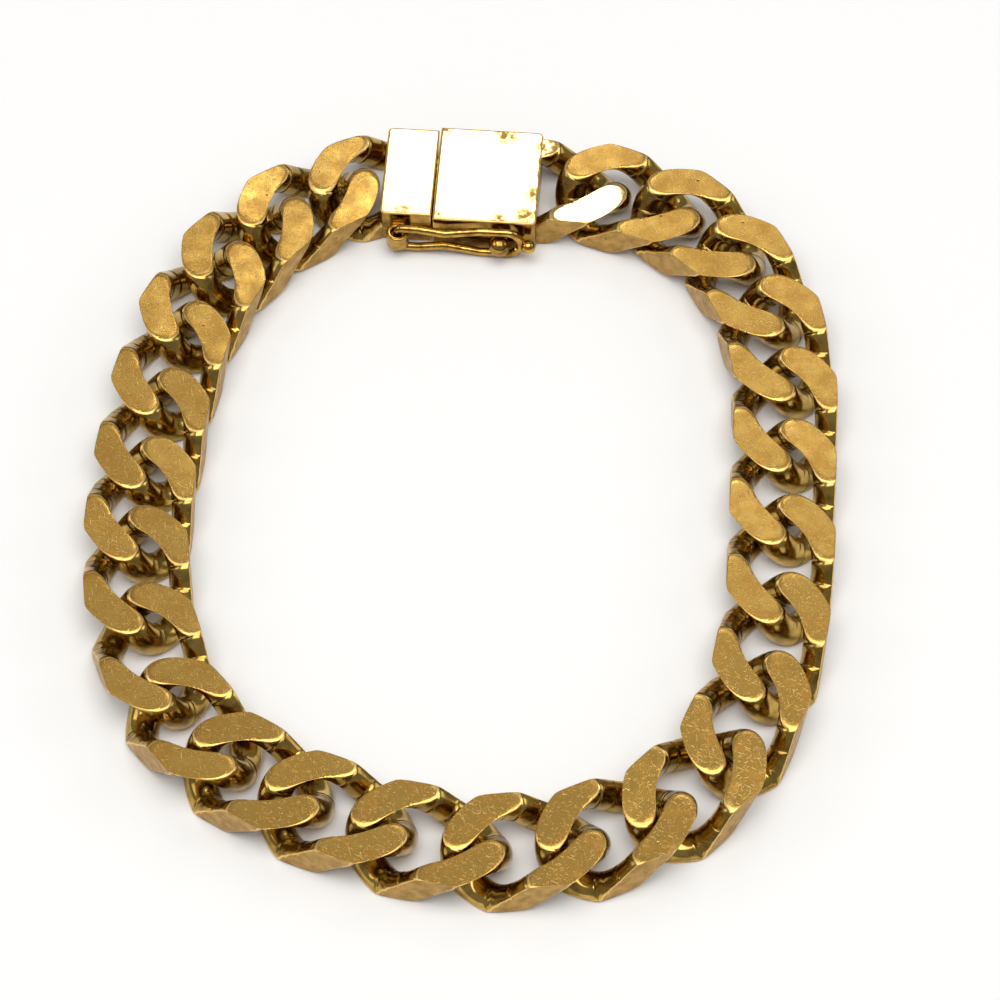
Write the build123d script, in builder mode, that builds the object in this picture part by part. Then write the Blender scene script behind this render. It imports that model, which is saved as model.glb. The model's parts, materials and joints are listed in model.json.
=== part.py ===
from build123d import *
import math
import os

# Cuban link bracelet: filed curb links, a box clasp with its tongue and a bent-wire safety catch.
# Millimetres. It lies closed on a surface at Z 0, with the clasp at the far side of the loop.

# Chain, driving sizes
link_count = 24
wire_d = 2.8
window_side_play = 2.4
window_end_play = 2.8
filed_off_side = 0.9
chain_thick = 3.6
link_twist = 55.0
twist_ease = 0.8
next_but_one_gap = 1.0
lay_roll = 0.8
roll_step = 2.4
bend_dip = 0.18

# Facets of a link
ring_stations = 24
wire_sides = 8

# Clasp, driving sizes
box_length = 9.2
head_length = 4.6
box_margin = 0.7
head_step = 0.35
clasp_over = 0.2
clasp_turn = -4.2
corner_r = 0.5
edge_r = 0.15
seam_gap = 0.15
box_reach = 1.3
head_reach = 0.2
box_lean = 2.0
head_lean = 26.0
stub_depth = 0.9

# Inside of the clasp box
end_wall = 1.4
side_wall = 0.9
sheet = 0.6
lip_thick = 0.6
lip_side = 0.6
lip_top = 0.8
tongue_sheet = 0.55
tongue_gap = 0.1
tongue_end_gap = 0.4

# Safety catch
tube_d = 2.0
tube_bore = 1.15
hinge_inset = 1.7
lug_width = 1.2
catch_stand = 0.8
catch_wire_d = 0.75
small_loop_inset = 0.275
large_loop_inset = 0.08
tube_clear = 0.075
loop_clear = 0.12
waist_gap = 0.9
tip_gap = 0.08
ball_neck_d = 1.2
ball_out = 0.35
ball_from_end = 3.15
small_loop_run = 1.8
large_loop_run = 0.85
large_loop_lead = 0.2
catch_tail = 3.2
tab_d = 1.3
tab_out = 0.3
small_bend_r = 0.45
waist_bend_r = 1.2
front_bend_r = 0.9
tip_bend_r = 0.2

# Where every second link lies, from the clasp box round to the tongue, as shares of the loop's
# depth, measured from the middle of the clasp: x to the right, y away
chain_route = [
    (0.297, -0.080),
    (0.389, -0.258),
    (0.390, -0.475),
    (0.368, -0.702),
    (0.271, -0.902),
    (0.071, -0.985),
    (-0.151, -0.940),
    (-0.326, -0.821),
    (-0.400, -0.607),
    (-0.390, -0.396),
    (-0.336, -0.187),
    (-0.206, -0.037),
]

# Worked out from the sizes above. A link's window takes one wire of its neighbour across and two
# along, each with some play, and links that are next but one to each other don't touch.
wire_r = wire_d / 2
window_width = wire_d + window_side_play
window_length = 2 * wire_d + window_end_play
link_length = window_length + 2 * wire_d
chain_width = window_width + 2 * wire_d - 2 * filed_off_side
half_run = (window_length + wire_d) / 2
half_spread = (window_width + wire_d) / 2
bow_centre = half_run - half_spread
pitch = (link_length + next_but_one_gap) / 2

box_width = chain_width + 2 * box_margin
head_width = box_width - 2 * head_step
clasp_thick = chain_thick + clasp_over
mid_height = clasp_thick / 2
clasp_span = box_reach + box_length + seam_gap + head_length + head_reach
box_end = clasp_span / 2 - box_reach
mouth_face = box_end - box_length
head_face = mouth_face - seam_gap
head_end = head_face - head_length

cavity_length = box_length - end_wall - lip_thick
cavity_width = box_width - 2 * side_wall
cavity_height = clasp_thick - 2 * sheet
mouth_width = cavity_width - 2 * lip_side
mouth_height = cavity_height - lip_top

catch_y = -(box_width / 2 + catch_stand)
hinge_x = head_end + hinge_inset
ball_x = box_end - ball_from_end
ball_distance = ball_x - hinge_x
ball_d = clasp_thick - 2 * (large_loop_inset + catch_wire_d + loop_clear)
tube_height = clasp_thick - 2 * (small_loop_inset + catch_wire_d + tube_clear)


# A bent wire ring is a flat oval first. This walks along its centre line from the front bow.
def oval_point(travel):
    quarter = math.pi * half_spread / 2
    straight = 2 * bow_centre
    half_way = 2 * quarter + straight
    if travel >= half_way:
        far = oval_point(travel - half_way)
        return Vector(-far.X, -far.Y, 0)
    if travel <= quarter:
        turn = travel / half_spread
        return Vector(bow_centre + half_spread * math.cos(turn), half_spread * math.sin(turn), 0)
    if travel <= quarter + straight:
        return Vector(bow_centre - (travel - quarter), half_spread, 0)
    turn = (travel - straight) / half_spread
    return Vector(-bow_centre + half_spread * math.cos(turn), half_spread * math.sin(turn), 0)


# The ring is then twisted along its length, so its two bows lean opposite ways.
def ring_point(share):
    perimeter = 4 * bow_centre + 2 * math.pi * half_spread
    flat = oval_point(share % 1 * perimeter)
    reach = flat.X / half_run
    lean = -math.copysign(math.radians(link_twist) * abs(reach) ** twist_ease, reach)
    return Vector(flat.X, flat.Y * math.cos(lean), flat.Y * math.sin(lean))


# One round section of the wire, its first corner pointing away from the link's centre
def wire_section(station):
    centre = ring_point(station / ring_stations)
    ahead = ring_point((station + 1) / ring_stations)
    behind = ring_point((station - 1) / ring_stations)
    tangent = (ahead - behind).normalized()
    outward = (centre - tangent * centre.dot(tangent)).normalized()
    side = tangent.cross(outward)
    turns = [2 * math.pi * corner / wire_sides for corner in range(wire_sides)]
    return [centre + (outward * math.cos(turn) + side * math.sin(turn)) * wire_r for turn in turns]


def triangle(first, second, third):
    return Face(Wire.make_polygon([first, second, third]))


def wire_ring():
    sections = [wire_section(station) for station in range(ring_stations)]
    faces = []
    for station in range(ring_stations):
        here = sections[station]
        there = sections[(station + 1) % ring_stations]
        for corner in range(wire_sides):
            beside = (corner + 1) % wire_sides
            faces.append(triangle(here[corner], there[corner], there[beside]))
            faces.append(triangle(here[corner], there[beside], here[beside]))
    return Solid(Shell(faces))


bare_ring = wire_ring()

# The filed link, about its own centre: top, bottom and both sides are filed flat.
with BuildPart() as link_form:
    add(bare_ring)
    Box(2 * link_length, chain_width, chain_thick, mode=Mode.INTERSECT)


# Lay of the chain, about the middle of the clasp
def toward(degrees):
    return (math.cos(math.radians(degrees)), math.sin(math.radians(degrees)))


clasp_x, clasp_y = toward(clasp_turn)
box_ring_spot = (clasp_x * clasp_span / 2, clasp_y * clasp_span / 2)
head_ring_spot = (-box_ring_spot[0], -box_ring_spot[1])


def spots_at(depth):
    return [(share_x * depth, share_y * depth) for share_x, share_y in chain_route]


def route_at(depth):
    leave = toward(clasp_turn - box_lean)
    arrive = toward(clasp_turn + head_lean)
    with BuildLine() as line:
        Spline(
            box_ring_spot,
            *spots_at(depth),
            head_ring_spot,
            tangents=[leave, arrive],
            tangent_scalars=[1.0, 1.0],
        )
    return line.wire()


# The loop is as deep as its links need to lie one pitch apart on average.
route_length = (link_count + 1) * pitch
loop_depth = route_length / math.pi
while not math.isclose(route_at(loop_depth).length, route_length, rel_tol=1e-6):
    loop_depth *= route_length / route_at(loop_depth).length
route = route_at(loop_depth)
marks = [0.0] + [route.param_at_point(spot) for spot in spots_at(loop_depth)] + [1.0]


# Share of the route that lies before a link. The links between two spots are spread evenly.
def share_before(index):
    place = index * len(chain_route) / link_count
    mark = int(place)
    return marks[mark] + (place - mark) * (marks[mark + 1] - marks[mark])


# Each link is rolled a little out of level, dips its nose where the chain bends, which keeps it
# clear of the next one, and rests on its lowest corner.
def lie(index):
    share = share_before(index)
    spot = route.position_at(share)
    heading = route.tangent_angle_at(share)
    arriving = route.tangent_at(share_before(index - 1))
    leaving = route.tangent_at(share_before(index + 1))
    bend = arriving.get_angle(leaving) / 2
    roll = lay_roll * math.sin(roll_step * index)
    level = Location((spot.X, spot.Y, 0), (0, 0, heading))
    turned = level * Location((0, 0, 0), (roll, bend_dip * bend, 0))
    lowest = link_form.part.moved(turned).bounding_box().min.Z
    return Location((0, 0, -lowest)) * turned


pieces = {}
for index in range(1, link_count + 1):
    with BuildPart() as one_link:
        add(link_form.part.moved(lie(index)))
    pieces[f"link_{index:02d}"] = one_link.part

# Clasp box: a hollow block with a mouth for the tongue, half a link soldered to its end wall,
# and the ball that the safety catch snaps over.
clasp_plane = Plane(origin=(0, 0, 0), x_dir=(clasp_x, clasp_y, 0), z_dir=(0, 0, 1))
clasp_place = Location(clasp_plane)
cavity_middle = mouth_face + lip_thick + cavity_length / 2

box_ring_place = clasp_place * Location((clasp_span / 2, 0, mid_height), (0, 0, -box_lean))
box_ring = link_form.part.moved(box_ring_place)
with BuildPart() as box_stub:
    add(box_ring)
    with BuildSketch(clasp_plane):
        with Locations((box_end - stub_depth + link_length, 0)):
            Rectangle(2 * link_length, 2 * box_width)
    extrude(amount=clasp_thick, mode=Mode.INTERSECT)

with BuildPart() as clasp_box:
    with BuildSketch(clasp_plane) as box_plan:
        with Locations(((box_end + mouth_face) / 2, 0)):
            Rectangle(box_length, box_width)
        fillet(box_plan.vertices().sort_by(Axis.X)[-2:], corner_r)
    extrude(amount=clasp_thick)
    box_flats = clasp_box.faces().filter_by(Axis.Z)
    fillet(box_flats.edges(), edge_r)
    with BuildSketch(clasp_plane.offset(sheet)):
        with Locations((cavity_middle, 0)):
            Rectangle(cavity_length, cavity_width)
    extrude(amount=cavity_height, mode=Mode.SUBTRACT)
    with BuildSketch(clasp_plane.offset(sheet)):
        with Locations((mouth_face + lip_thick / 2, 0)):
            Rectangle(2 * lip_thick, mouth_width)
    extrude(amount=mouth_height, mode=Mode.SUBTRACT)
    add(box_stub.part)
    ball_spot = clasp_plane.from_local_coords((ball_x, catch_y - ball_out, mid_height))
    with Locations(ball_spot):
        Sphere(ball_d / 2)
    neck_plane = Plane(origin=ball_spot, x_dir=(0, 0, 1), z_dir=(-clasp_y, clasp_x, 0))
    with BuildSketch(neck_plane):
        Circle(ball_neck_d / 2)
    extrude(amount=ball_out + catch_stand + side_wall / 2)
pieces["clasp_box"] = clasp_box.part

# Tongue: the clasp's other block with its half link, the catch's hinge tube, and a folded
# spring leaf that lies inside the box.
head_ring_place = clasp_place * Location((-clasp_span / 2, 0, mid_height), (0, 0, head_lean))
head_ring = link_form.part.moved(head_ring_place)
with BuildPart() as head_stub:
    add(head_ring)
    with BuildSketch(clasp_plane):
        with Locations((head_end + stub_depth - link_length, 0)):
            Rectangle(2 * link_length, 2 * box_width)
    extrude(amount=clasp_thick, mode=Mode.INTERSECT)

fold_x = mouth_face + lip_thick + cavity_length - tongue_end_gap
leaf_low = sheet + tongue_gap
leaf_top = leaf_low + tongue_sheet
leaf_width = mouth_width - 2 * tongue_gap
leaf_root = head_face - stub_depth
free_x = mouth_face + lip_thick + tongue_gap
free_top = clasp_thick - sheet - tongue_gap
fold_top = leaf_top + tongue_gap + tongue_sheet
fold_r = (fold_top - leaf_low) / 2
inner_r = fold_r - tongue_sheet
fold_centre = fold_x - fold_r
leaf_plane = Plane(
    origin=clasp_plane.from_local_coords((0, leaf_width / 2, 0)),
    x_dir=(clasp_x, clasp_y, 0),
    z_dir=(clasp_y, -clasp_x, 0),
)

with BuildPart() as clasp_tongue:
    with BuildSketch(clasp_plane) as head_plan:
        with Locations(((head_end + head_face) / 2, 0)):
            Rectangle(head_length, head_width)
        fillet(head_plan.vertices().sort_by(Axis.X)[:2], corner_r)
    extrude(amount=clasp_thick)
    head_flats = clasp_tongue.faces().filter_by(Axis.Z)
    fillet(head_flats.edges(), edge_r)
    add(head_stub.part)
    with BuildSketch(leaf_plane):
        with BuildLine():
            Line((leaf_root, leaf_low), (fold_centre, leaf_low))
            ThreePointArc(
                (fold_centre, leaf_low), (fold_centre + fold_r, leaf_low + fold_r), (fold_centre, fold_top)
            )
            Line((fold_centre, fold_top), (free_x, free_top))
            Line((free_x, free_top), (free_x, free_top - tongue_sheet))
            Line((free_x, free_top - tongue_sheet), (fold_centre, leaf_top + 2 * inner_r))
            ThreePointArc(
                (fold_centre, leaf_top + 2 * inner_r),
                (fold_centre + inner_r, leaf_top + inner_r),
                (fold_centre, leaf_top),
            )
            Line((fold_centre, leaf_top), (leaf_root, leaf_top))
            Line((leaf_root, leaf_top), (leaf_root, leaf_low))
        make_face()
    extrude(amount=leaf_width)
    with BuildSketch(clasp_plane.offset(mid_height - tube_height / 2)):
        with Locations((hinge_x, catch_y)):
            Circle(tube_d / 2)
        with Locations((hinge_x, (catch_y - head_width / 2) / 2)):
            Rectangle(lug_width, -catch_y - head_width / 2 + 2 * edge_r)
    extrude(amount=tube_height)
    with BuildSketch(clasp_plane.offset(mid_height - tube_height / 2)):
        with Locations((hinge_x, catch_y)):
            Circle(tube_bore / 2)
    extrude(amount=tube_height, mode=Mode.SUBTRACT)
pieces["clasp_tongue"] = clasp_tongue.part

# Safety catch: a wire bent into a long loop with a waist. Its small end runs through the hinge
# tube, its large end lies round the ball, and the wires meet in a thumb tab. Half is drawn and
# mirrored.
small_rise = tube_height / 2 + tube_clear + catch_wire_d / 2
large_rise = ball_d / 2 + loop_clear + catch_wire_d / 2
waist_rise = (catch_wire_d + waist_gap) / 2
tip_rise = (catch_wire_d + tip_gap) / 2
waist_x = (ball_distance - catch_wire_d) / 2
loop_start = ball_distance - ball_d / 2 - large_loop_run
loop_finish = ball_distance + ball_d / 2 + large_loop_lead
catch_length = ball_distance + catch_tail
tip_x = catch_length - tab_d
hinge_spot = clasp_plane.from_local_coords((hinge_x, catch_y, mid_height))
catch_plane = Plane(origin=hinge_spot, x_dir=(clasp_x, clasp_y, 0), z_dir=(clasp_y, -clasp_x, 0))
mirror_plane = Plane(origin=hinge_spot, x_dir=(1, 0, 0), z_dir=(0, 0, 1))

with BuildPart() as safety_catch:
    with BuildLine(catch_plane) as half_wire:
        FilletPolyline(
            (0, 0),
            (0, small_rise),
            (small_loop_run, small_rise),
            (waist_x, waist_rise),
            (loop_start, large_rise),
            (loop_finish, large_rise),
            (tip_x, tip_rise),
            (tip_x, 0),
            radius=[small_bend_r, waist_bend_r, waist_bend_r, waist_bend_r, front_bend_r, tip_bend_r],
        )
    with BuildSketch(mirror_plane):
        Circle(catch_wire_d / 2)
    sweep(path=half_wire.wire())
    mirror(about=mirror_plane)
    with Locations(catch_plane.from_local_coords((catch_length - tab_d / 2, 0, tab_out))):
        Sphere(tab_d / 2)
pieces["safety_catch"] = safety_catch.part

# The origin is under the middle of the closed bracelet, on the surface it lies on.
whole = Compound(children=[part.moved(Location()) for part in pieces.values()]).bounding_box()
to_origin = Location((-whole.center().X, -whole.center().Y, -whole.min.Z))

os.makedirs("parts", exist_ok=True)
for name, part in pieces.items():
    placed = part.moved(to_origin)
    placed.label = name
    export_step(placed, f"parts/{name}.step")

print("size", whole.size, "loop depth", round(loop_depth, 2), "pitch", round(pitch, 2))
print("hinge", to_origin.position + hinge_spot, "clasp middle", to_origin.position)
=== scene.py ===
import json
import math
import bmesh
import bpy
import numpy as np
from mathutils import Matrix, Vector


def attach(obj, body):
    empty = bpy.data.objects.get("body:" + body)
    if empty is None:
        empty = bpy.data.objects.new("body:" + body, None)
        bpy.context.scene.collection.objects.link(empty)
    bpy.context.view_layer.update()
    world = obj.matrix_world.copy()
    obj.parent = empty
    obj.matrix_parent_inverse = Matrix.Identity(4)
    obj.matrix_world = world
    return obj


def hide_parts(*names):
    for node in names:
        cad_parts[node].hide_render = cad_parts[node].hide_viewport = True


# Cuban link bracelet in yellow gold: satin filed flats over polished wire, a bright box clasp
# and a safety catch of bent wire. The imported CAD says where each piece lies.

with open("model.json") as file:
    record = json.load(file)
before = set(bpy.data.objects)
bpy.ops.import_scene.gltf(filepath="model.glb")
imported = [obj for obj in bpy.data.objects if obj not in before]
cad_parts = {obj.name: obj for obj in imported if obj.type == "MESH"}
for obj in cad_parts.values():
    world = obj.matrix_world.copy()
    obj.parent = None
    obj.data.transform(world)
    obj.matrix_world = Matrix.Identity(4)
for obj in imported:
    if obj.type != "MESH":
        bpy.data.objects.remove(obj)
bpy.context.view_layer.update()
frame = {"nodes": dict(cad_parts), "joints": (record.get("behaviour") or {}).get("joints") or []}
mm = 0.001


def hexColour(code):
    # sRGB hex to the linear values that the shader wants
    parts = [int(code[i:i + 2], 16) / 255 for i in (0, 2, 4)]
    linear = [c / 12.92 if c <= 0.04045 else ((c + 0.055) / 1.055) ** 2.4 for c in parts]
    return (*linear, 1.0)


def addNode(tree, kind, settings=None, inputs=None):
    # one node with its settings, its sockets set, or linked to a socket or to a node's first output
    node = tree.nodes.new(kind)
    for name, value in (settings or {}).items():
        setattr(node, name, value)
    for socket, value in (inputs or {}).items():
        if isinstance(value, bpy.types.Node):
            value = value.outputs[0]
        if isinstance(value, bpy.types.NodeSocket):
            tree.links.new(value, node.inputs[socket])
        else:
            node.inputs[socket].default_value = value
    return node


def newMaterial(name):
    material = bpy.data.materials.new(name)
    material.use_nodes = True
    tree = material.node_tree
    tree.nodes.clear()
    return material, tree


# Finishes of one alloy, 18 carat yellow gold. Sizes and depths are in millimetres. Patch, grain and
# wave are the widths of uneven tone, of the metal's grain and of slow unevenness.
# A scratch is (turn in radians, lines per mm, length over width, threshold). Real ones are about
# 0.02 mm wide and wouldn't show, so they are drawn 0.05 to 0.1 mm wide, a pixel of the render.

# Filed flat by hand and brushed: a soft satin sheen with short crossed scratches and a few pits
filedFinish = {
    "name": "filedSatinGold", "bright": "e8ba5f", "deep": "d29f4c", "freshAndGlint": "efc97e", "patch": 1.5,
    "roughLow": 0.20, "roughHigh": 0.30, "roughScratch": 0.05,
    "scratches": [(0.45, 10.0, 5.0, 0.64), (1.35, 9.0, 9.0, 0.65), (2.5, 11.0, 5.0, 0.65)],
    "scratchDepth": 0.0025, "grain": 0.12, "grainDepth": 0.0012,
    "wave": 2.2, "waveDepth": 0.02, "pitDepth": 0.03,
}
# Filed flat along the sides, browner as painted shade for sides facing the shaded floor, and grainier
flankFinish = {
    "name": "filedFlankGold", "bright": "bd9754", "deep": "9d7b3f", "freshAndGlint": "ccaa66", "patch": 0.8,
    "roughLow": 0.32, "roughHigh": 0.46, "roughScratch": 0.04,
    "scratches": [(0.3, 9.0, 4.0, 0.66)],
    "scratchDepth": 0.003, "grain": 0.13, "grainDepth": 0.012,
    "wave": 1.4, "waveDepth": 0.008, "pitDepth": 0.03,
}
# Edges of the filed faces, rubbed by wear: paler, rougher gold, a painted highlight line round each flat
edgeHighlightFinish = {
    "name": "goldEdgePaintedHighlight", "bright": "f3cd84", "deep": "e2b566", "freshAndGlint": "f6d48e", "patch": 0.7,
    "roughLow": 0.36, "roughHigh": 0.46, "roughScratch": 0.03,
    "scratches": [(1.1, 6.0, 8.0, 0.64)],
    "scratchDepth": 0.002, "grain": 0.2, "grainDepth": 0.002,
    "wave": 1.2, "waveDepth": 0.008, "pitDepth": 0.0,
}
# Left round as drawn and tumbled, between the filed faces: smooth, in a darker brown gold all over,
# the painted shade of the dark surroundings that the wires reflect
wireFinish = {
    "name": "tumbledGoldWire", "bright": "c8a556", "deep": "876b33", "freshAndGlint": "d2b064", "patch": 1.3,
    "roughLow": 0.12, "roughHigh": 0.24, "roughScratch": 0.05,
    "scratches": [(0.3, 6.0, 6.0, 0.66)],
    "scratchDepth": 0.001, "grain": 0.3, "grainDepth": 0.0015,
    "wave": 1.8, "waveDepth": 0.008, "pitDepth": 0.0,
}
# Sheet polished to a mirror on the wheel and scuffed at its rim: it flashes white under the light
claspFinish = {
    "name": "polishedSheetGold", "bright": "f2d592", "deep": "eecd86", "freshAndGlint": "f5dca0", "patch": 1.8,
    "roughLow": 0.07, "roughHigh": 0.11, "roughScratch": 0.06,
    "scratches": [(0.7, 9.0, 14.0, 0.69), (2.1, 9.0, 12.0, 0.69)],
    "scratchDepth": 0.0006, "grain": 0.4, "grainDepth": 0.0006,
    "wave": 2.0, "waveDepth": 0.006, "pitDepth": 0.0,
}
# Sides of the clasp with its ball and tube: polished once, and darkened to brown as painted shade
shadedSideFinish = {
    "name": "sheetGoldPaintedShade", "bright": "b78f45", "deep": "745622", "freshAndGlint": "d0a656", "patch": 1.4,
    "roughLow": 0.10, "roughHigh": 0.22, "roughScratch": 0.06,
    "scratches": [(0.1, 7.0, 16.0, 0.64), (1.5, 6.0, 12.0, 0.65)],
    "scratchDepth": 0.002, "grain": 0.3, "grainDepth": 0.0015,
    "wave": 1.6, "waveDepth": 0.01, "pitDepth": 0.0,
}
# Thin drawn wire of the catch, darkened as painted shade before the clasp's front, with drawing lines
# along it
catchFinish = {
    "name": "drawnCatchGold", "bright": "cfa44f", "deep": "8a662a", "freshAndGlint": "e3bb68", "patch": 0.9,
    "roughLow": 0.10, "roughHigh": 0.20, "roughScratch": 0.08,
    "scratches": [(0.07, 9.0, 40.0, 0.60)],
    "scratchDepth": 0.002, "grain": 0.2, "grainDepth": 0.0015,
    "wave": 0.8, "waveDepth": 0.008, "pitDepth": 0.0,
}
# Dirt in the pits and the bare dull gold of the scuffs, with how dense and how sharp both are
wear = {
    "pitSoil": "7a5524", "scuffSoil": "c39a48", "rougher": 0.3,
    "pitsPerMm": 0.55, "pitCore": 0.03, "pitRim": 0.075,
    "raggedPerMm": 2.2, "raggedLow": 0.40, "raggedHigh": 0.60, "scuffCore": 0.3,
    "scratchRim": 0.1,
}


def makeGold(finish, scuffs=(), soil=wear["pitSoil"]):
    # scuffs are (place in millimetres, size) of dull spots with ragged rims, in the soil's colour
    material, tree = newMaterial(finish["name"])
    place = addNode(tree, "ShaderNodeTexCoord")
    inMm = addNode(tree, "ShaderNodeVectorMath", {"operation": "SCALE"},
                   {0: place.outputs["Object"], "Scale": 1 / mm})
    patches = addNode(tree, "ShaderNodeTexNoise", None,
                      {"Vector": inMm, "Scale": 1 / finish["patch"], "Detail": 3.0})
    grain = addNode(tree, "ShaderNodeTexNoise", None,
                    {"Vector": inMm, "Scale": 1 / finish["grain"], "Detail": 2.0})
    wave = addNode(tree, "ShaderNodeTexNoise", None,
                   {"Vector": inMm, "Scale": 1 / finish["wave"], "Detail": 0.0})

    # scratches: noise drawn out along one direction, then cut high so that thin lines are left
    scratches = None
    for turn, perMm, longer, threshold in finish["scratches"]:
        turned = addNode(tree, "ShaderNodeMapping", None,
                         {"Vector": inMm, "Rotation": (0.0, 0.0, turn)})
        drawn = addNode(tree, "ShaderNodeMapping", None,
                        {"Vector": turned, "Scale": (perMm / longer, perMm, perMm)})
        lines = addNode(tree, "ShaderNodeTexNoise", None,
                        {"Vector": drawn, "Scale": 1.0, "Detail": 1.0})
        layer = addNode(tree, "ShaderNodeMapRange", None,
                        {"Value": lines, "From Min": threshold,
                         "From Max": threshold + wear["scratchRim"]})
        scratches = layer if scratches is None else addNode(
            tree, "ShaderNodeMath", {"operation": "MAXIMUM"}, {0: scratches, 1: layer})

    # pits: a few small round dimples, darker because dirt stays in them
    cells = addNode(tree, "ShaderNodeTexVoronoi", None, {"Vector": inMm, "Scale": wear["pitsPerMm"]})
    pits = addNode(tree, "ShaderNodeMapRange", None,
                   {"Value": cells, "From Min": wear["pitCore"], "From Max": wear["pitRim"],
                    "To Min": 1.0, "To Max": 0.0})
    shown = addNode(tree, "ShaderNodeMath", {"operation": "MULTIPLY"},
                    {0: pits, 1: 1.0 if finish["pitDepth"] else 0.0})
    ragged = addNode(tree, "ShaderNodeTexNoise", None,
                     {"Vector": inMm, "Scale": wear["raggedPerMm"], "Detail": 3.0})
    ragged = addNode(tree, "ShaderNodeMapRange", None,
                     {"Value": ragged, "From Min": wear["raggedLow"], "From Max": wear["raggedHigh"]})
    for spot, size in scuffs:
        away = addNode(tree, "ShaderNodeVectorMath", {"operation": "DISTANCE"}, {0: inMm, 1: spot})
        near = addNode(tree, "ShaderNodeMapRange", None,
                       {"Value": away.outputs["Value"], "From Min": wear["scuffCore"] * size,
                        "From Max": size, "To Min": 1.0, "To Max": 0.0})
        near = addNode(tree, "ShaderNodeMath", {"operation": "MULTIPLY"}, {0: near, 1: ragged})
        shown = addNode(tree, "ShaderNodeMath", {"operation": "MAXIMUM"}, {0: shown, 1: near})

    # the noise lies mostly between 0.3 and 0.7, so these ranges use all of each tone
    tone = addNode(tree, "ShaderNodeMapRange", None,
                   {"Value": patches, "From Min": 0.35, "From Max": 0.68})
    alloy = addNode(tree, "ShaderNodeMix", {"data_type": "RGBA"},
                    {"Factor": tone, 6: hexColour(finish["bright"]), 7: hexColour(finish["deep"])})
    # scratches turn lighter: fresh metal, and a painted glint along the lines
    alloy = addNode(tree, "ShaderNodeMix", {"data_type": "RGBA"},
                    {"Factor": scratches, 6: alloy.outputs[2], 7: hexColour(finish["freshAndGlint"])})
    colour = addNode(tree, "ShaderNodeMix", {"data_type": "RGBA"},
                     {"Factor": shown, 6: alloy.outputs[2], 7: hexColour(soil)})
    dull = addNode(tree, "ShaderNodeMapRange", None,
                   {"Value": patches, "From Min": 0.3, "From Max": 0.7,
                    "To Min": finish["roughLow"], "To Max": finish["roughHigh"]})
    rough = addNode(tree, "ShaderNodeMath", {"operation": "MULTIPLY_ADD"},
                    {0: scratches, 1: finish["roughScratch"], 2: dull})
    rough = addNode(tree, "ShaderNodeMath", {"operation": "MULTIPLY_ADD"},
                    {0: shown, 1: wear["rougher"], 2: rough})

    # relief in millimetres; the bump's distance turns it to metres
    height = addNode(tree, "ShaderNodeMath", {"operation": "MULTIPLY"},
                     {0: wave, 1: finish["waveDepth"]})
    height = addNode(tree, "ShaderNodeMath", {"operation": "MULTIPLY_ADD"},
                     {0: grain, 1: finish["grainDepth"], 2: height})
    height = addNode(tree, "ShaderNodeMath", {"operation": "MULTIPLY_ADD"},
                     {0: scratches, 1: -finish["scratchDepth"], 2: height})
    height = addNode(tree, "ShaderNodeMath", {"operation": "MULTIPLY_ADD"},
                     {0: shown, 1: -finish["pitDepth"], 2: height})
    bump = addNode(tree, "ShaderNodeBump", None, {"Height": height, "Strength": 1.0, "Distance": mm})
    shader = addNode(tree, "ShaderNodeBsdfPrincipled", None,
                     {"Base Color": colour.outputs[2], "Metallic": 1.0, "Roughness": rough,
                      "Normal": bump})
    addNode(tree, "ShaderNodeOutputMaterial", None, {"Surface": shader})
    return material


filedGold = makeGold(filedFinish)
filedFlank = makeGold(flankFinish)
edgeHighlightGold = makeGold(edgeHighlightFinish)
tumbledWire = makeGold(wireFinish)
drawnCatch = makeGold(catchFinish)
print("materials made")


def meshFrom(name, points, faces, materials, slots=None):
    mesh = bpy.data.meshes.new(name)
    mesh.from_pydata([tuple(p) for p in points], [], faces)
    for material in materials:
        mesh.materials.append(material)
    if slots is not None:
        mesh.polygons.foreach_set("material_index", slots)
    mesh.polygons.foreach_set("use_smooth", [True] * len(mesh.polygons))
    mesh.update()
    return mesh


def showPiece(name, mesh, place, body, slotName, *nodes):
    # puts a copy of the mesh where it lies, on its body and in place of its CAD node
    placed = mesh.copy()
    placed.transform(place)
    piece = bpy.data.objects.new(name, placed)
    bpy.context.scene.collection.objects.link(piece)
    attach(piece, body)
    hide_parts(*nodes)


def ringFaces(rings, around, closed):
    # quads between rings of points that follow each other
    faces = []
    for j in range(rings if closed else rings - 1):
        here, there = j * around, (j + 1) % rings * around
        for k in range(around):
            beside = (k + 1) % around
            faces.append((here + k, there + k, there + beside, here + beside))
    return faces


def turnOutward(mesh, weld=0.0):
    # turns every face outward, once points closer than the weld are joined
    work = bmesh.new()
    work.from_mesh(mesh)
    if weld:
        bmesh.ops.remove_doubles(work, verts=work.verts, dist=weld)
    bmesh.ops.recalc_face_normals(work, faces=work.faces[:])
    work.to_mesh(mesh)
    work.free()


# Sizes of one link in millimetres, as in the CAD. Its wire is drawn 0.03 mm under size, halfway
# between the corners and the flats of the CAD's eight-sided wire. A ring of the mesh has more of its
# points within rimSpan of a filed face's rim. A point belongs to a flat, or else to its rim, once it
# stands these shares of the rim's size above or below the filed height.
linkForm = {
    "wireRadius": 1.37, "halfSpread": 4.0, "bowCentre": 1.6, "halfRun": 5.6,
    "twist": 55.0, "twistEase": 0.8, "twistRound": 0.15, "width": 9.0, "thickness": 3.6,
    "rim": 0.13, "wornRim": 0.32, "crown": 0.07, "crownDepth": 0.45,
    "rings": 192, "around": 52, "rimCare": 4.0, "rimSpan": 0.13, "probes": 720,
    "flatAbove": 0.5, "rimBelow": 0.9, "tangentStep": 0.002,
}


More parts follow.
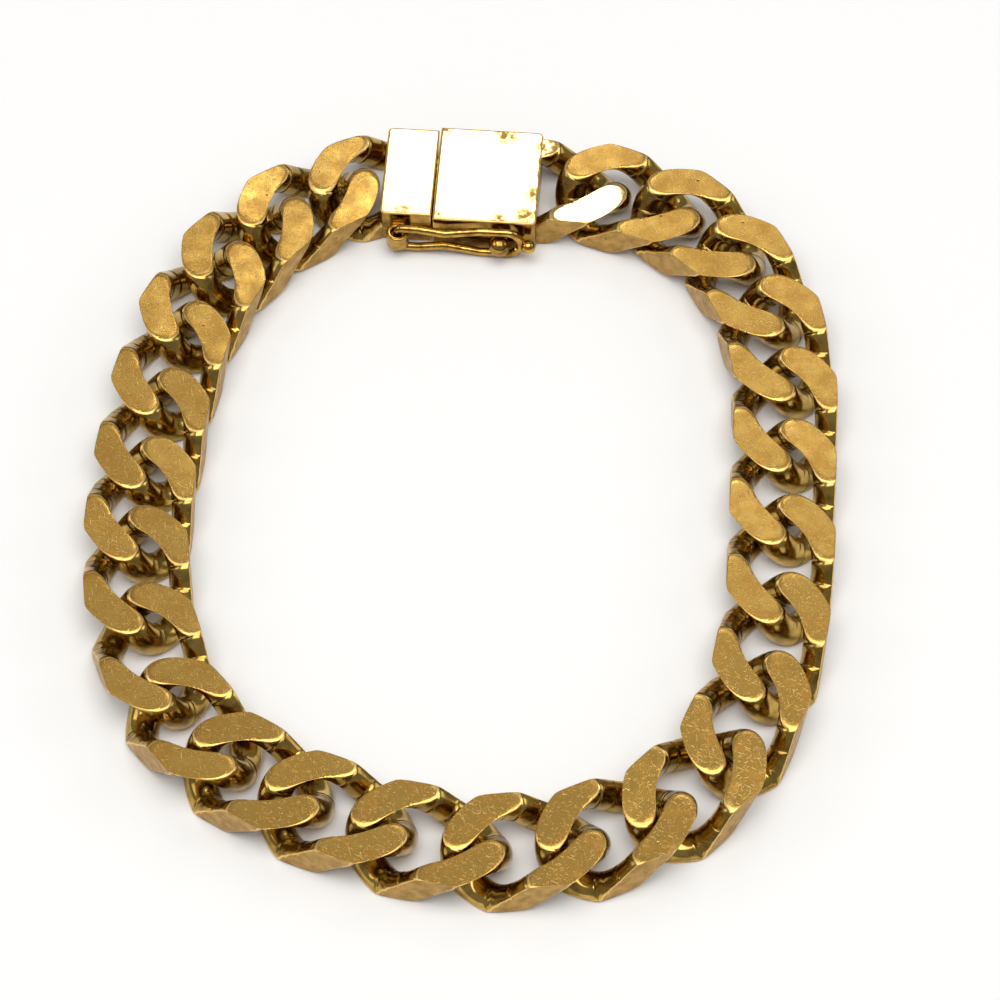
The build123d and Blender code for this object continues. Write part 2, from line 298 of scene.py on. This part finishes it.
def linkCentreLine(shares):
    # a flat oval, twisted along its length so that its two bows lean opposite ways
    form = linkForm
    spread, centre = form["halfSpread"], form["bowCentre"]
    quarter, straight = math.pi * spread / 2, 2 * centre
    half = 2 * quarter + straight
    travel = shares % 1 * 2 * half
    side = np.where(travel >= half, -1.0, 1.0)
    t = travel % half
    turn = np.where(t <= quarter, t, t - straight) / spread
    bow = np.where(t <= quarter, centre, -centre) + spread * np.cos(turn)
    onBow = (t <= quarter) | (t > quarter + straight)
    x = side * np.where(onBow, bow, centre - (t - quarter))
    y = side * np.where(onBow, spread * np.sin(turn), spread)
    reach = x / form["halfRun"]
    # reach to a power, rounded off at the middle, where the wire would get a crease
    eased = reach * (reach ** 2 + form["twistRound"] ** 2) ** ((form["twistEase"] - 1) / 2)
    lean = -math.radians(form["twist"]) * eased
    return np.stack([x, y * np.cos(lean), y * np.sin(lean)], 1)


def filedOff(value, limit, rim):
    # holds a coordinate at a filed face, a little crowned, with a small round where the file left
    # the wire
    size = np.abs(value)
    outer = 1 - np.clip((size - limit) / linkForm["crownDepth"], 0, 1)
    face = limit - linkForm["crown"] * outer ** 2
    eased = face - (face + rim - size) ** 2 / (4 * rim)
    held = np.where(size < face - rim, size, np.where(size > face + rim, face, eased))
    return np.sign(value) * held


def wireRing(middle, outward, aside, angles):
    # points round one section of the wire
    turned = np.outer(np.cos(angles), outward) + np.outer(np.sin(angles), aside)
    return middle + linkForm["wireRadius"] * turned


def buildLinkMesh(name, rim):
    form = linkForm
    rings, around = form["rings"], form["around"]
    high, wide = form["thickness"] / 2, form["width"] / 2
    shares, step = np.arange(rings) / rings, form["tangentStep"]
    centre = linkCentreLine(shares)
    tangent = linkCentreLine(shares + step) - linkCentreLine(shares - step)
    tangent /= np.linalg.norm(tangent, axis=1)[:, None]
    outward = centre - (centre * tangent).sum(1)[:, None] * tangent
    outward /= np.linalg.norm(outward, axis=1)[:, None]
    aside = np.cross(tangent, outward)
    fine = np.linspace(0, 2 * math.pi, form["probes"] + 1)
    points, kinds = [], []
    for j in range(rings):
        # more points where the rim of a filed face crosses the ring
        probe = wireRing(centre[j], outward[j], aside[j], fine)
        nearRim = np.exp(-((np.abs(probe[:, 2]) - high) / form["rimSpan"]) ** 2)
        nearRim += np.exp(-((np.abs(probe[:, 1]) - wide) / form["rimSpan"]) ** 2)
        weight = np.concatenate([[0], np.cumsum(1 + form["rimCare"] * nearRim[1:])])
        angles = np.interp(np.arange(around) / around * weight[-1], weight, fine)
        ring = wireRing(centre[j], outward[j], aside[j], angles)
        # 0 on the round wire, 1 on a filed face's rim, 2 on a filed side, 3 on a filed top
        overTop, overSide = np.abs(ring[:, 2]) - high, np.abs(ring[:, 1]) - wide
        onTop, onSide = overTop > form["flatAbove"] * rim, overSide > form["flatAbove"] * rim
        filed = np.where(onSide, 2, np.where(onTop, 3, 1))
        kinds.append(np.where(np.maximum(overTop, overSide) > -form["rimBelow"] * rim, filed, 0))
        ring[:, 2] = filedOff(ring[:, 2], high, rim)
        ring[:, 1] = filedOff(ring[:, 1], wide, rim)
        points.append(ring)
    faces = ringFaces(rings, around, True)
    kinds = np.concatenate(kinds)
    slots = [int(kinds[list(face)].min()) for face in faces]
    mesh = meshFrom(name, np.concatenate(points) * mm, faces,
                    [tumbledWire, edgeHighlightGold, filedFlank, filedGold], slots)
    turnOutward(mesh)
    return mesh


def restingPlace(node):
    # a link is alike about its three own axes, so its middle and its spread give how it lies
    mesh = frame["nodes"][node].data
    mesh.calc_loop_triangles()
    corners = np.array([v.co for v in mesh.vertices])
    threes = np.array([t.vertices for t in mesh.loop_triangles])
    a, b, c = corners[threes[:, 0]], corners[threes[:, 1]], corners[threes[:, 2]]
    area = np.linalg.norm(np.cross(b - a, c - a), axis=1) / 2
    middle = (a + b + c) / 3
    centre = (area[:, None] * middle).sum(0) / area.sum()
    spread = np.zeros((3, 3))
    # a triangle's spread is exact as its corners counted once and its middle nine times
    for part, share in ((a, 1), (b, 1), (c, 1), (middle, 9)):
        away = part - centre
        spread += np.einsum("t,ti,tj->ij", area * share / 12, away, away)
    axes = np.linalg.eigh(spread)[1]
    up = Vector(axes[:, 0]) * (1 if axes[2, 0] > 0 else -1)
    along = Vector(axes[:, 2])
    across = up.cross(along)
    place = Matrix((along, across, up)).transposed().to_4x4()
    place.translation = Vector(centre)
    return place


linkMesh = buildLinkMesh("filedLink", linkForm["rim"])
linkNames = sorted(name for name in frame["nodes"] if name.startswith("link_"))
for name in linkNames:
    showPiece("filedLink" + name[-2:], linkMesh, restingPlace(name), "bracelet", "link_gold", name)
print("links made:", len(linkNames))

# Sizes in millimetres about the middle of the clasp, as in the CAD. The cut of the mouth starts
# before its face and ends inside the hollow.
claspForm = {
    "turn": -4.2, "thick": 3.8, "span": 15.45, "boxEnd": 6.425, "mouthFace": -2.775,
    "headFace": -2.925, "headEnd": -7.525, "boxWidth": 10.4, "headWidth": 9.7,
    "cornerRadius": 0.5, "seamRadius": 0.12, "edgeRadius": 0.15, "edgeSteps": 6, "edgeBand": 0.06,
    "boxLean": 2.0, "headLean": 26.0, "stubIn": 0.5,
    "endWall": 1.4, "sheet": 0.6, "cavityHalf": 4.3, "mouthHalf": 3.7, "mouthTop": 2.4,
    "cutBefore": 0.5, "cutPast": 0.2, "hingeX": -5.825, "catchY": -6.0, "ballX": 3.275,
    "boxNicks": 0.16, "headNicks": 0.03, "nickPoints": 28, "nickMargin": 1.0, "nickFade": 0.4,
}
hinge = Vector(frame["joints"][0]["pos_m"])
claspTurn = Matrix.Rotation(math.radians(claspForm["turn"]), 4, "Z")
fromMiddle = Vector((claspForm["hingeX"], claspForm["catchY"], claspForm["thick"] / 2)) * mm
claspPlace = Matrix.Translation(hinge - claspTurn @ fromMiddle) @ claspTurn

# Worn spots of the clasp's top, in millimetres about its middle, and their size
wornSpots = [(3.1, 4.8, 1.4), (6.5, 3.6, 0.8), (6.6, 0.6, 0.9), (6.3, -1.8, 1.2),
             (5.4, -4.2, 1.1), (3.2, -5.0, 1.1), (-2.4, -5.0, 0.9), (-2.5, 4.9, 0.9),
             (-5.6, -4.4, 0.8), (8.1, 4.1, 2.2)]
polishedClasp = makeGold(claspFinish, [
    (tuple(claspPlace @ (Vector((x, y, claspForm["thick"])) * mm) / mm), size)
    for x, y, size in wornSpots], wear["scuffSoil"])
shadedSideGold = makeGold(shadedSideFinish)


def blockOutline(nearX, farX, width, inset, nicks, steps=8):
    # a rectangle, drawn in by the inset, with rounder corners at its outer end than at the seam
    points = []
    for cornerX, cornerY, start in ((1, 1, 0), (-1, 1, 90), (-1, -1, 180), (1, -1, 270)):
        atX = farX if cornerX > 0 else nearX
        radius = claspForm["cornerRadius" if cornerX > 0 else "seamRadius"]
        radius = max(radius - inset, 0.01)  # never quite a point
        centreX = atX - cornerX * (inset + radius)
        centreY = cornerY * (width / 2 - inset - radius)
        for i in range(steps + 1):
            angle = math.radians(start + 90 * i / steps)
            points.append((centreX + radius * math.cos(angle), centreY + radius * math.sin(angle)))
    # the outer end's edge is worn in small nicks: broad bites with a few sharp ones between
    low, high = -(width / 2 - claspForm["nickMargin"]), width / 2 - claspForm["nickMargin"]
    for i in range(claspForm["nickPoints"]):
        y = low + (high - low) * i / (claspForm["nickPoints"] - 1)
        broad = max(0.0, math.sin(2.1 * y + 0.6) * math.sin(5.3 * y))
        sharp = max(0.0, math.sin(11.0 * y + 2.0)) ** 3
        points.append((farX - inset - nicks * (broad + 0.6 * sharp), y))
    return points


def buildBlock(name, nearX, farX, width, nickDepth):
    # a flat block with its top and bottom edges rounded, closed by flat caps
    thick, edge = claspForm["thick"], claspForm["edgeRadius"]
    steps, fade = claspForm["edgeSteps"], claspForm["nickFade"]
    levels = [(edge + claspForm["edgeBand"], 0.0, 0.0)]
    for i in range(steps + 1):
        turn = math.radians(90 * i / steps)
        levels.append((edge * (1 - math.sin(turn)), edge * (1 - math.cos(turn)), 0.0))
    # only the upper edge is nicked, and less where it meets the upright side
    top = [(inset, thick - z, nickDepth * min(1.0, fade + inset / edge))
           for inset, z, _ in reversed(levels)]
    points = []
    for inset, z, nicks in levels + top:
        points += [(x, y, z) for x, y in blockOutline(nearX, farX, width, inset, nicks)]
    around = len(points) // (2 * len(levels))
    faces = ringFaces(2 * len(levels), around, False)
    faces.append(tuple(reversed(range(around))))
    faces.append(tuple(range(len(points) - around, len(points))))
    # the upright sides get painted shade, but for the one at the seam, and the rounded edges a painted
    # highlight line
    upright, pastSeam, slots = len(levels) - 1, nearX + 2 * edge, []
    for i, face in enumerate(faces):
        band = i // around
        if band == upright:
            slots.append(int(any(points[corner][0] > pastSeam for corner in face)))
        else:
            slots.append(2 if 0 < band < 2 * upright else 0)
    mesh = meshFrom(name, np.array(points) * mm, faces,
                    [polishedClasp, shadedSideGold, edgeHighlightGold], slots)
    turnOutward(mesh)
    return mesh


def cutOut(mesh, lowCorner, highCorner):
    # takes a rectangular hollow out of a block
    tool = bpy.data.meshes.new("hollow")
    work = bmesh.new()
    bmesh.ops.create_cube(work, size=1.0)
    size = Vector(highCorner) - Vector(lowCorner)
    for corner in work.verts:
        corner.co = Vector([low + (c + 0.5) * s for low, c, s in zip(lowCorner, corner.co, size)]) * mm
    work.to_mesh(tool)
    work.free()
    body, cutter = bpy.data.objects.new("body", mesh), bpy.data.objects.new("cutter", tool)
    for item in (body, cutter):
        bpy.context.scene.collection.objects.link(item)
    cut = body.modifiers.new("cut", "BOOLEAN")
    cut.operation, cut.solver, cut.object = "DIFFERENCE", "EXACT", cutter
    bpy.context.view_layer.update()
    shown = body.evaluated_get(bpy.context.evaluated_depsgraph_get())
    result = bpy.data.meshes.new_from_object(shown)
    result.name = mesh.name
    for item in (body, cutter):
        bpy.data.objects.remove(item)
    result.set_sharp_from_angle(angle=math.radians(50))
    return result


def buildHalfLink(name, whole, place, keepSide, faceX, finishes):
    # the part of a filed link that stands out of a clasp block, closed inside the block
    work = bmesh.new()
    work.from_mesh(whole)
    bmesh.ops.transform(work, matrix=place, verts=work.verts)
    cut = bmesh.ops.bisect_plane(work, geom=work.verts[:] + work.edges[:] + work.faces[:],
                                 plane_co=(faceX * mm, 0, 0), plane_no=(keepSide, 0, 0),
                                 clear_inner=True)
    rim = [item for item in cut["geom_cut"] if isinstance(item, bmesh.types.BMEdge)]
    bmesh.ops.holes_fill(work, edges=rim, sides=0)
    mesh = bpy.data.meshes.new(name)
    work.to_mesh(mesh)
    work.free()
    for material in finishes:
        mesh.materials.append(material)
    return mesh


def lathe(name, profile, around, material):
    # turns a profile of (radius, height) about the Z axis
    points = []
    for radius, height in profile:
        for k in range(around):
            angle = 2 * math.pi * k / around
            points.append((radius * math.cos(angle), radius * math.sin(angle), height))
    mesh = meshFrom(name, np.array(points) * mm, ringFaces(len(profile), around, False), [material])
    turnOutward(mesh, weld=1e-7)
    return mesh


def arc(centreR, centreZ, radius, start, end, steps):
    # part of a profile, from one angle to another in degrees
    turns = [math.radians(start + (end - start) * i / steps) for i in range(steps + 1)]
    return [(centreR + radius * math.cos(t), centreZ + radius * math.sin(t)) for t in turns]


form = claspForm
hollowFace, midHeight = form["mouthFace"] + form["sheet"], form["thick"] / 2 * mm
boxBlock = buildBlock("claspBoxShell", form["mouthFace"], form["boxEnd"], form["boxWidth"],
                      form["boxNicks"])
boxShell = cutOut(boxBlock, (hollowFace, -form["cavityHalf"], form["sheet"]),
                  (form["boxEnd"] - form["endWall"], form["cavityHalf"],
                   form["thick"] - form["sheet"]))
boxShell = cutOut(boxShell, (form["mouthFace"] - form["cutBefore"], -form["mouthHalf"], form["sheet"]),
                  (hollowFace + form["cutPast"], form["mouthHalf"], form["mouthTop"]))
headBlock = buildBlock("claspHeadBlock", -form["headFace"], -form["headEnd"], form["headWidth"],
                       form["headNicks"])
halfTurn = Matrix.Rotation(math.pi, 4, "Z")


def halfLinkPlace(side, lean):
    # side is 1 at the box's end and -1 at the head's
    turned = Matrix.Rotation(-side * math.radians(lean), 4, "Z")
    return Matrix.Translation((side * form["span"] / 2 * mm, 0, midHeight)) @ turned


wornLink = buildLinkMesh("wornLink", linkForm["wornRim"])
boxHalfLink = buildHalfLink("boxHalfLink", linkMesh, halfLinkPlace(1, form["boxLean"]), 1,
                            form["boxEnd"] - form["stubIn"],
                            (tumbledWire, edgeHighlightGold, filedFlank, polishedClasp))
headHalfLink = buildHalfLink("headHalfLink", wornLink, halfLinkPlace(-1, form["headLean"]), -1,
                             form["headEnd"] + form["stubIn"],
                             (tumbledWire, edgeHighlightGold, filedFlank, filedGold))
showPiece("claspBoxShell", boxShell, claspPlace, "bracelet", "clasp_gold", "clasp_box")
showPiece("boxHalfLink", boxHalfLink, claspPlace, "bracelet", "clasp_gold", "clasp_box")
showPiece("claspHeadBlock", headBlock, claspPlace @ halfTurn, "bracelet", "clasp_gold",
          "clasp_tongue")
showPiece("headHalfLink", headHalfLink, claspPlace, "bracelet", "clasp_gold", "clasp_tongue")
print("clasp blocks made")

# Folded spring leaf inside the box, in millimetres: it shows only through the seam
leafForm = {
    "low": 0.7, "sheet": 0.55, "gap": 0.1, "rootX": -3.825, "foldX": 4.625,
    "freeX": -2.075, "freeTop": 3.1, "width": 7.2,
}


def buildLeaf():
    leaf = leafForm
    top = leaf["low"] + leaf["sheet"]
    foldTop = top + leaf["gap"] + leaf["sheet"]
    outer = (foldTop - leaf["low"]) / 2
    inner = outer - leaf["sheet"]
    centreX = leaf["foldX"] - outer
    profile = [(leaf["rootX"], leaf["low"])]
    profile += arc(centreX, leaf["low"] + outer, outer, -90, 90, 12)
    profile += [(leaf["freeX"], leaf["freeTop"]), (leaf["freeX"], leaf["freeTop"] - leaf["sheet"])]
    profile += list(reversed(arc(centreX, top + inner, inner, -90, 90, 8)))
    profile.append((leaf["rootX"], top))
    half = leaf["width"] / 2
    points = [(x, y, z) for y in (-half, half) for x, z in profile]
    around = len(profile)
    faces = ringFaces(2, around, False)
    faces += [tuple(reversed(range(around))), tuple(range(around, 2 * around))]
    mesh = meshFrom("springLeaf", np.array(points) * mm, faces, [tumbledWire])
    turnOutward(mesh)
    mesh.set_sharp_from_angle(angle=math.radians(40))
    return mesh


showPiece("springLeaf", buildLeaf(), claspPlace, "bracelet", "clasp_gold", "clasp_tongue")

# Ball on its neck, and the hinge tube on its lug, in millimetres
fittings = {
    "ballRadius": 0.95, "neckRadius": 0.6, "neckLength": 1.3, "ballOut": 0.35, "neckRun": 0.05,
    "solder": 0.25, "tubeRadius": 1.0, "boreRadius": 0.575, "tubeHeight": 1.6, "tubeRim": 0.14,
    "lugWidth": 1.2, "lugLength": 0.63, "lugIn": 0.13, "lugBevel": 0.12,
}


def buildBall():
    # the neck widens to its solder at the wall
    size = fittings
    neck, solder = size["neckRadius"], size["solder"]
    meet = math.degrees(math.asin(neck / size["ballRadius"]))
    profile = arc(0, 0, size["ballRadius"], -90, 90 - meet, 25)
    neckStart = profile[-1][1]
    neckEnd = size["ballOut"] + size["neckLength"]
    profile += [(neck, neckStart + size["neckRun"]), (neck, neckEnd - solder)]
    profile += [(neck + solder, neckEnd), (0.0, neckEnd)]
    return lathe("catchBall", profile, 40, shadedSideGold)


def buildTube():
    size = fittings
    rim, top = size["tubeRim"], size["tubeHeight"] / 2
    profile = arc(size["tubeRadius"] - rim, -top + rim, rim, -90, 0, 5)
    profile += arc(size["tubeRadius"] - rim, top - rim, rim, 0, 90, 5)
    profile += arc(size["boreRadius"] + rim, top - rim, rim, 90, 180, 5)
    profile += arc(size["boreRadius"] + rim, -top + rim, rim, 180, 270, 5)
    profile.append(profile[0])
    return lathe("hingeTube", profile, 48, shadedSideGold)


def buildLug():
    size = fittings
    work = bmesh.new()
    bmesh.ops.create_cube(work, size=1.0)
    for corner in work.verts:
        corner.co = Vector((corner.co.x * size["lugWidth"], corner.co.y * size["lugLength"],
                            corner.co.z * size["tubeHeight"])) * mm
    bmesh.ops.bevel(work, geom=work.edges[:], offset=size["lugBevel"] * mm, segments=4,
                    affect="EDGES", profile=0.5)
    mesh = bpy.data.meshes.new("hingeLug")
    work.to_mesh(mesh)
    work.free()
    mesh.materials.append(shadedSideGold)
    mesh.polygons.foreach_set("use_smooth", [True] * len(mesh.polygons))
    mesh.set_sharp_from_angle(angle=math.radians(40))
    return mesh


ballPlace = claspPlace @ Matrix.Translation(
    Vector((form["ballX"], form["catchY"] - fittings["ballOut"], form["thick"] / 2)) * mm)
ballPlace = ballPlace @ Matrix.Rotation(-math.pi / 2, 4, "X")
tubePlace = claspPlace @ Matrix.Translation(fromMiddle)
# from just inside the block's wall into the tube's, short of its bore
lugMiddle = form["headWidth"] / 2 - fittings["lugIn"] + fittings["lugLength"] / 2
lugPlace = claspPlace @ Matrix.Translation(
    Vector((form["hingeX"], -lugMiddle, form["thick"] / 2)) * mm)
showPiece("catchBall", buildBall(), ballPlace, "bracelet", "clasp_gold", "clasp_box")
showPiece("hingeTube", buildTube(), tubePlace, "bracelet", "clasp_gold", "clasp_tongue")
showPiece("hingeLug", buildLug(), lugPlace, "bracelet", "clasp_gold", "clasp_tongue")
print("ball, tube and lug made")

# A wire in a figure eight, in millimetres from the hinge: x toward the ball, y up. The small loop
# runs through the tube and the large one lies round the ball.
catchForm = {
    "wireRadius": 0.375, "smallRise": 1.25, "smallRun": 1.8, "waistX": 4.175, "waistRise": 0.825,
    "loopStart": 7.3, "loopFinish": 10.25, "largeRise": 1.445, "tipX": 11.0, "tipRise": 0.415,
    "radii": [0.45, 1.2, 1.2, 1.2, 0.9, 0.2], "tabRadius": 0.65, "tabX": 11.65, "tabOut": 0.3,
    "around": 18,
}


def roundedRun(corners, radii, steps=7):
    # straight runs joined by arcs
    points = [Vector(corners[0])]
    for before, corner, after, radius in zip(corners[:-2], corners[1:-1], corners[2:], radii):
        corner = Vector(corner)
        back, on = (Vector(before) - corner).normalized(), (Vector(after) - corner).normalized()
        half = back.angle(on) / 2
        toArc = radius / math.tan(half)
        centre = corner + (back + on).normalized() * radius / math.sin(half)
        first = (corner + back * toArc - centre).normalized()
        last = (corner + on * toArc - centre).normalized()
        for i in range(steps + 1):
            points.append(centre + first.slerp(last, i / steps) * radius)
    points.append(Vector(corners[-1]))
    return points


def sweepRing(name, path, radius, around, material):
    # round wire along a closed flat path in the XZ plane
    line = np.array([(p.x, 0.0, p.y) for p in path])
    tangent = np.roll(line, -1, 0) - np.roll(line, 1, 0)
    tangent /= np.linalg.norm(tangent, axis=1)[:, None]
    flat = np.array((0.0, 1.0, 0.0))
    side = np.cross(tangent, flat)
    turns = np.arange(around) * 2 * math.pi / around
    points = [line[j] + radius * (math.cos(t) * side[j] + math.sin(t) * flat)
              for j in range(len(line)) for t in turns]
    mesh = meshFrom(name, np.array(points) * mm, ringFaces(len(line), around, True), [material])
    turnOutward(mesh)
    return mesh


def buildCatch():
    size = catchForm
    corners = [(0, 0), (0, size["smallRise"]), (size["smallRun"], size["smallRise"]),
               (size["waistX"], size["waistRise"]), (size["loopStart"], size["largeRise"]),
               (size["loopFinish"], size["largeRise"]), (size["tipX"], size["tipRise"]), (size["tipX"], 0)]
    upper = roundedRun(corners, size["radii"])
    lower = [Vector((p.x, -p.y)) for p in reversed(upper[1:-1])]
    path = []
    for point in upper + lower:
        if not path or (point - path[-1]).length > 0.02:
            path.append(point)
    return sweepRing("catchWire", path, size["wireRadius"], size["around"], drawnCatch)


def buildTab():
    # a round thumb tab, a little flattened
    radius = catchForm["tabRadius"]
    profile = [(radius * math.sin(math.radians(a)), -0.94 * radius * math.cos(math.radians(a)))
               for a in np.linspace(0, 180, 25)]
    return lathe("catchTab", profile, 36, drawnCatch)


tabPlace = tubePlace @ Matrix.Translation(Vector((catchForm["tabX"], -catchForm["tabOut"], 0)) * mm)
tabPlace = tabPlace @ Matrix.Rotation(math.pi / 2, 4, "X")
showPiece("catchWire", buildCatch(), tubePlace, "safety_catch", "catch_gold", "safety_catch")
showPiece("catchTab", buildTab(), tabPlace, "safety_catch", "catch_gold", "safety_catch")
print("safety catch made")

# Sizes in metres, but for the camera's lens and sensor. The floor lies just under the lowest links.
studio = {
    "floorHex": "f6f5f3", "floorSize": 3.0, "floorDrop": 0.02 * mm, "floorCloud": 9.0,
    "skyHex": "ffffff", "skyStrength": 0.27, "lookAt": (3.06 * mm, -1.50 * mm, 3.7 * mm),
    "elevation": 56.0, "distance": 386.75 * mm, "lens": 163.8, "sensor": 36, "clip": (0.01, 10),
}
# where each light stands (azimuth from the right, elevation, distance), its size and how bright
# its face is against a white sheet
lights = {
    "overheadSoftbox": {"azimuth": 270, "elevation": 80, "distance": 0.9,
                        "width": 1.0, "height": 0.7, "glow": 3.3},
    "rearStrip": {"azimuth": 88.6, "elevation": 48.7, "distance": 0.477,
                  "width": 0.068, "height": 0.045, "glow": 4.2},
    "rearPanel": {"azimuth": 90, "elevation": 52.5, "distance": 0.451,
                  "width": 0.24, "height": 0.13, "glow": 0.15},
    "rearRightPanel": {"azimuth": 75.4, "elevation": 52.3, "distance": 0.453,
                       "width": 0.1, "height": 0.12, "glow": 0.56},
    "rightSoftbox": {"azimuth": 10, "elevation": 30, "distance": 0.9,
                     "width": 0.5, "height": 0.4, "glow": 1.5},
    "leftSoftbox": {"azimuth": 175, "elevation": 35, "distance": 0.9,
                    "width": 0.5, "height": 0.4, "glow": 1.5},
}


def makeFloor():
    material, tree = newMaterial("paleFloor")
    place = addNode(tree, "ShaderNodeTexCoord")
    cloud = addNode(tree, "ShaderNodeTexNoise", None,
                    {"Vector": place.outputs["Object"], "Scale": studio["floorCloud"]})
    rough = addNode(tree, "ShaderNodeMapRange", None,
                    {"Value": cloud, "To Min": 0.7, "To Max": 0.85})
    shader = addNode(tree, "ShaderNodeBsdfPrincipled", None,
                     {"Base Color": hexColour(studio["floorHex"]), "Roughness": rough})
    addNode(tree, "ShaderNodeOutputMaterial", None, {"Surface": shader})
    half = studio["floorSize"] / 2
    corners = [(-half, -half, 0), (half, -half, 0), (half, half, 0), (-half, half, 0)]
    floor = bpy.data.objects.new("floor", meshFrom("floor", corners, [(0, 1, 2, 3)], [material]))
    bpy.context.scene.collection.objects.link(floor)
    floor.location.z = -studio["floorDrop"]


def makeLight(name, setting):
    azimuth, elevation = math.radians(setting["azimuth"]), math.radians(setting["elevation"])
    toward = Vector((math.cos(elevation) * math.cos(azimuth),
                     math.cos(elevation) * math.sin(azimuth), math.sin(elevation)))
    data = bpy.data.lights.new(name, "AREA")
    data.shape, data.size, data.size_y = "RECTANGLE", setting["width"], setting["height"]
    data.energy = setting["glow"] * math.pi * setting["width"] * setting["height"]
    light = bpy.data.objects.new(name, data)
    bpy.context.scene.collection.objects.link(light)
    light.location = toward * setting["distance"]
    light.rotation_euler = toward.to_track_quat("Z", "Y").to_euler()


def makeCamera():
    data = bpy.data.cameras.new("camera")
    data.lens, data.sensor_width = studio["lens"], studio["sensor"]
    data.clip_start, data.clip_end = studio["clip"]
    camera = bpy.data.objects.new("camera", data)
    bpy.context.scene.collection.objects.link(camera)
    elevation = math.radians(studio["elevation"])
    back = Vector((0, -math.cos(elevation), math.sin(elevation))) * studio["distance"]
    camera.location = Vector(studio["lookAt"]) + back
    camera.rotation_euler = (math.pi / 2 - elevation, 0, 0)
    bpy.context.scene.camera = camera


makeFloor()
for name, setting in lights.items():
    makeLight(name, setting)
makeCamera()
world = bpy.data.worlds.new("studio")
world.use_nodes = True
bpy.context.scene.world = world
sky = world.node_tree.nodes["Background"]
sky.inputs["Color"].default_value = hexColour(studio["skyHex"])
sky.inputs["Strength"].default_value = studio["skyStrength"]
bpy.context.scene.view_settings.view_transform = "Standard"
print("floor, light and camera made")
